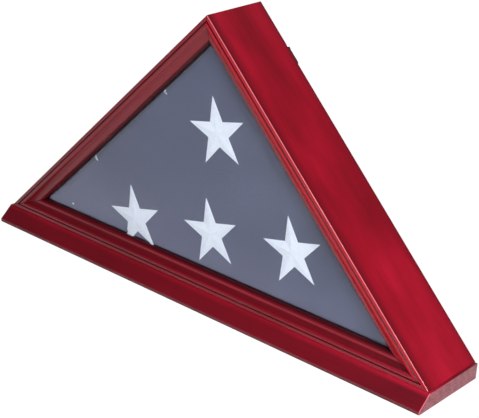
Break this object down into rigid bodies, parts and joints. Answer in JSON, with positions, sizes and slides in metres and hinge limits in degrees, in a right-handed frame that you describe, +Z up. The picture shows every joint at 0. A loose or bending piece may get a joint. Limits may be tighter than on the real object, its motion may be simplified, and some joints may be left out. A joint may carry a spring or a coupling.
{
  "type": "folded flag display case",
  "caption": "Triangular shadow-box case on a moulded plinth, with a folded flag behind glass and a lift-off back panel held by turn buttons.",
  "frame": {"origin": "centre of the plinth's underside across the width, level with the front face of the triangular frame", "axes": "+X to the viewer's right along the plinth, +Y from the front face to the back, +Z up"},
  "size_m": [0.6552, 0.1114, 0.3438],
  "materials": {
    "cherry_lacquer": "gloss cherry lacquer over wood",
    "stained_wood": "dark cherry stain, no lacquer",
    "hardboard": "smooth pressed board",
    "glass": "clear",
    "flag_cloth": "woven cotton, navy with white embroidered stars",
    "nickel": "nickel plated, satin",
    "steel": "zinc plated steel"
  },
  "bodies": {
    "case": {"bottom_rail": "cherry_lacquer", "glass_stop_bottom": "stained_wood", "stop_brad_bottom_1": "steel", "stop_brad_bottom_2": "steel", "right_rail": "cherry_lacquer", "glass_stop_right": "stained_wood", "stop_brad_right_1": "steel", "stop_brad_right_2": "steel", "left_rail": "cherry_lacquer", "glass_stop_left": "stained_wood", "stop_brad_left_1": "steel", "stop_brad_left_2": "steel", "base_plinth": "cherry_lacquer", "v_nail_left": "steel", "v_nail_right": "steel", "v_nail_apex": "steel", "base_screw_1": "steel", "base_screw_2": "steel", "base_screw_3": "steel", "base_screw_4": "steel", "button_screw_bottom_left": "nickel", "button_screw_bottom_right": "nickel", "button_screw_right": "nickel", "button_screw_left": "nickel", "glass_pane": "glass"},
    "back_panel": {"back_panel": "hardboard"},
    "flag": {"folded_flag": "flag_cloth"},
    "button_bottom_left": {"turn_button_bottom_left": "nickel"},
    "button_bottom_right": {"turn_button_bottom_right": "nickel"},
    "button_right": {"turn_button_right": "nickel"},
    "button_left": {"turn_button_left": "nickel"}
  },
  "joints": [
    {"name": "panel_lift_off", "type": "slide", "parent": "case", "child": "back_panel", "axis": [0, 1, 0], "range_m": [0, 0.25]},
    {"name": "flag_lift_out", "type": "slide", "parent": "case", "child": "flag", "axis": [0, 1, 0], "range_m": [0, 0.125]},
    {"name": "button_bottom_left_turn", "type": "hinge", "parent": "case", "child": "button_bottom_left", "pos_m": [-0.15, 0.0911, 0.0235], "axis": [0, -1, 0], "continuous": true},
    {"name": "button_bottom_right_turn", "type": "hinge", "parent": "case", "child": "button_bottom_right", "pos_m": [0.15, 0.0911, 0.0235], "axis": [0, 1, 0], "continuous": true},
    {"name": "button_right_turn", "type": "hinge", "parent": "case", "child": "button_right", "pos_m": [0.04031, 0.0911, 0.29733], "axis": [0, 1, 0], "continuous": true},
    {"name": "button_left_turn", "type": "hinge", "parent": "case", "child": "button_left", "pos_m": [-0.04031, 0.0911, 0.29733], "axis": [0, -1, 0], "continuous": true}
  ],
  "couplings": [
    {"joint": "flag_lift_out", "follows": "panel_lift_off", "ratio": 0.5}
  ]
}
